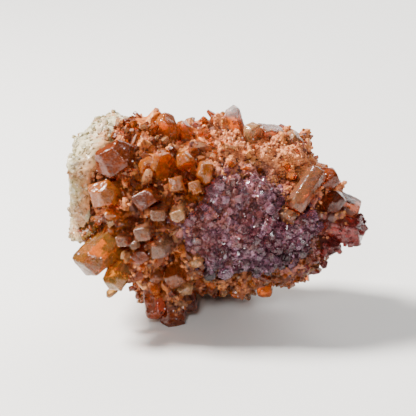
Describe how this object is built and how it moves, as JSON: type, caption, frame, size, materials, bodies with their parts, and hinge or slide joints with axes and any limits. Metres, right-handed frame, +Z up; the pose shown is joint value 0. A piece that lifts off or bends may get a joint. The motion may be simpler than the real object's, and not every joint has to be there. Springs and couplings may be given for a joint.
{
  "type": "creedite crystal cluster",
  "caption": "Hand-sized mineral specimen: stubby amber crystals on a rusty crust, with a purple fluorite druse and a slab of pale host rock, resting on its own cut base.",
  "frame": {"origin": "on the surface that the cluster stands on, under the centre of its bounding box", "axes": "+Z up; +X to the right and +Y away from the viewer when the crystal face is seen from the front, as in the picture"},
  "size_m": [0.0504, 0.03, 0.0368],
  "materials": {
    "host_rock": "broken, matte, sugary grain",
    "creedite_crust": "crumbly, iron stained, matte",
    "fluorite_druse": "glittering, glassy",
    "amber_crystal": "glassy, translucent",
    "honey_crystal": "glassy, translucent",
    "brown_crystal": "glassy, translucent",
    "pale_crystal": "glassy, translucent",
    "red_crystal": "glassy, translucent"
  },
  "bodies": {
    "root": {"host_rock": "host_rock", "creedite_crust": "creedite_crust", "fluorite_druse": "fluorite_druse", "honey_crystal_left": "honey_crystal", "honey_crystal_low": "honey_crystal", "honey_chip_low": "honey_crystal", "honey_crystal_rind": "honey_crystal", "wedge_crystal_top": "amber_crystal", "stub_crystal_top": "amber_crystal", "pale_tip_crystal_top": "amber_crystal", "amber_crystal_top_right": "amber_crystal", "shoulder_crystal": "amber_crystal", "pale_crystal_shoulder": "pale_crystal", "brown_crystal_upper": "brown_crystal", "brown_crystal_middle": "amber_crystal", "blade_crystals": "amber_crystal", "yellow_crystal_middle": "amber_crystal", "amber_crystal_middle": "amber_crystal", "block_crystal_inner_left": "amber_crystal", "block_crystal_inner_right": "amber_crystal", "pale_flake_crystal": "pale_crystal", "brown_block_crystal": "brown_crystal", "horn_crystal": "amber_crystal", "square_crystal": "brown_crystal", "twin_prism_crystals": "brown_crystal", "lilac_flake_crystal": "pale_crystal", "amber_crystal_front": "amber_crystal", "brown_face_crystal": "brown_crystal", "stepped_crystal_low": "amber_crystal", "amber_crystal_low": "amber_crystal", "pale_crystal_low": "pale_crystal", "brown_block_middle": "brown_crystal", "pale_block_middle": "pale_crystal", "glassy_crystal_right": "amber_crystal", "peach_crystal_right": "honey_crystal", "round_crystal_right": "amber_crystal", "dark_crystal_right": "brown_crystal", "end_crystal_right": "honey_crystal", "red_crystal_end": "red_crystal", "red_crystal_end_low": "red_crystal", "ledge_crystals_right": "red_crystal", "red_crystal_low": "red_crystal", "foot_crystal_front": "amber_crystal", "foot_crystal_left": "amber_crystal", "foot_crystal_right": "brown_crystal", "foot_crystal_side": "pale_crystal", "hanging_crystal_left": "amber_crystal", "hanging_crystal_right": "amber_crystal", "rear_crystal_top": "amber_crystal", "rear_crystal_left": "amber_crystal", "rear_crystal_right": "amber_crystal", "rear_crystal_low_right": "brown_crystal"}
  },
  "joints": []
}
